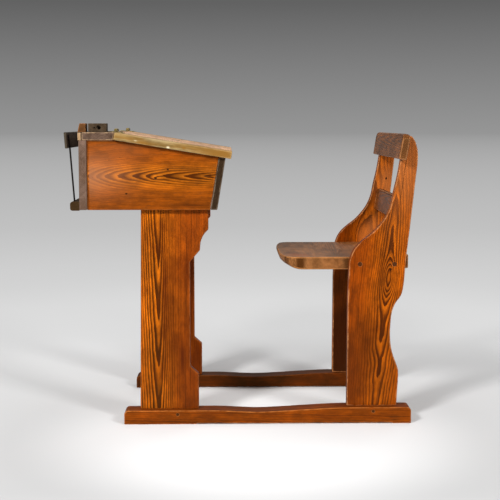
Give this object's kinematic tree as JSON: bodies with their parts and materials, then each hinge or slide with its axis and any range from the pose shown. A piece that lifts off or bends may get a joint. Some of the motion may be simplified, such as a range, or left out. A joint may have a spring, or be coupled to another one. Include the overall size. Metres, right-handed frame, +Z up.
{
  "type": "school desk",
  "caption": "Wooden school desk with a sloping hinged locker lid, a fixed plank seat and back on floor runners, and a book rack behind the locker.",
  "frame": {"origin": "on the floor, at the centre of the desk's bounds", "axes": "+X from the locker towards the seat, +Y towards the pupil's right, +Z up; the pupil sits at the +X end and faces -X"},
  "size_m": [0.8765, 0.525, 0.7543],
  "materials": {
    "golden_pine": "old orange-brown varnish, strong grain",
    "dark_pine": "dark stain, worn on the edges",
    "bare_pine": "worn to bare wood",
    "weathered_pine": "grey-brown, weathered",
    "blackened_wood": "near black",
    "iron": "dull black",
    "steel": "dulled",
    "brass": "tarnished"
  },
  "bodies": {
    "desk": {"crest_rail": "dark_pine", "end_block": "weathered_pine", "end_wedge": "golden_pine", "front_bearer": "bare_pine", "hinge_rail_screw_1": "brass", "hinge_rail_screw_2": "brass", "hinge_rail_screw_3": "brass", "hinge_rail_screw_4": "brass", "left_desk_leg": "golden_pine", "left_hinge_fixed_leaf": "brass", "left_hinge_pin": "brass", "left_leg_peg": "dark_pine", "left_locker_side": "golden_pine", "left_panel_peg": "dark_pine", "left_rack_rod": "iron", "left_rack_staple": "iron", "left_runner": "golden_pine", "left_seat_panel": "golden_pine", "locker_back": "weathered_pine", "locker_floor": "bare_pine", "locker_front": "dark_pine", "middle_back_rail": "dark_pine", "middle_rack_rod": "iron", "middle_rack_staple": "iron", "rack_ledge": "dark_pine", "rack_strip": "blackened_wood", "rear_bearer": "bare_pine", "rear_rail": "weathered_pine", "rear_seat_rail": "dark_pine", "right_desk_leg": "golden_pine", "right_hinge_fixed_leaf": "brass", "right_hinge_pin": "brass", "right_leg_peg": "dark_pine", "right_locker_side": "golden_pine", "right_panel_peg": "dark_pine", "right_rack_rod": "iron", "right_rack_staple": "iron", "right_runner": "golden_pine", "right_seat_panel": "golden_pine", "seat_board": "dark_pine", "seat_plug_1": "dark_pine", "seat_plug_2": "dark_pine", "seat_plug_3": "dark_pine", "seat_plug_4": "dark_pine", "seat_screw_1": "steel", "seat_screw_2": "steel", "seat_screw_3": "steel", "seat_screw_4": "steel", "slot_batten": "bare_pine"},
    "lid": {"hinge_lid_screw_1": "brass", "hinge_lid_screw_2": "brass", "hinge_lid_screw_3": "brass", "hinge_lid_screw_4": "brass", "left_hinge_moving_leaf": "brass", "left_lid_clamp": "bare_pine", "lid_front_board": "bare_pine", "lid_rear_board": "bare_pine", "right_hinge_moving_leaf": "brass", "right_lid_clamp": "bare_pine"}
  },
  "joints": [
    {"name": "lid_hinge", "type": "hinge", "parent": "desk", "child": "lid", "pos_m": [-0.31359, 0, 0.7374], "axis": [0, -1, 0], "range_deg": [0, 110]}
  ]
}
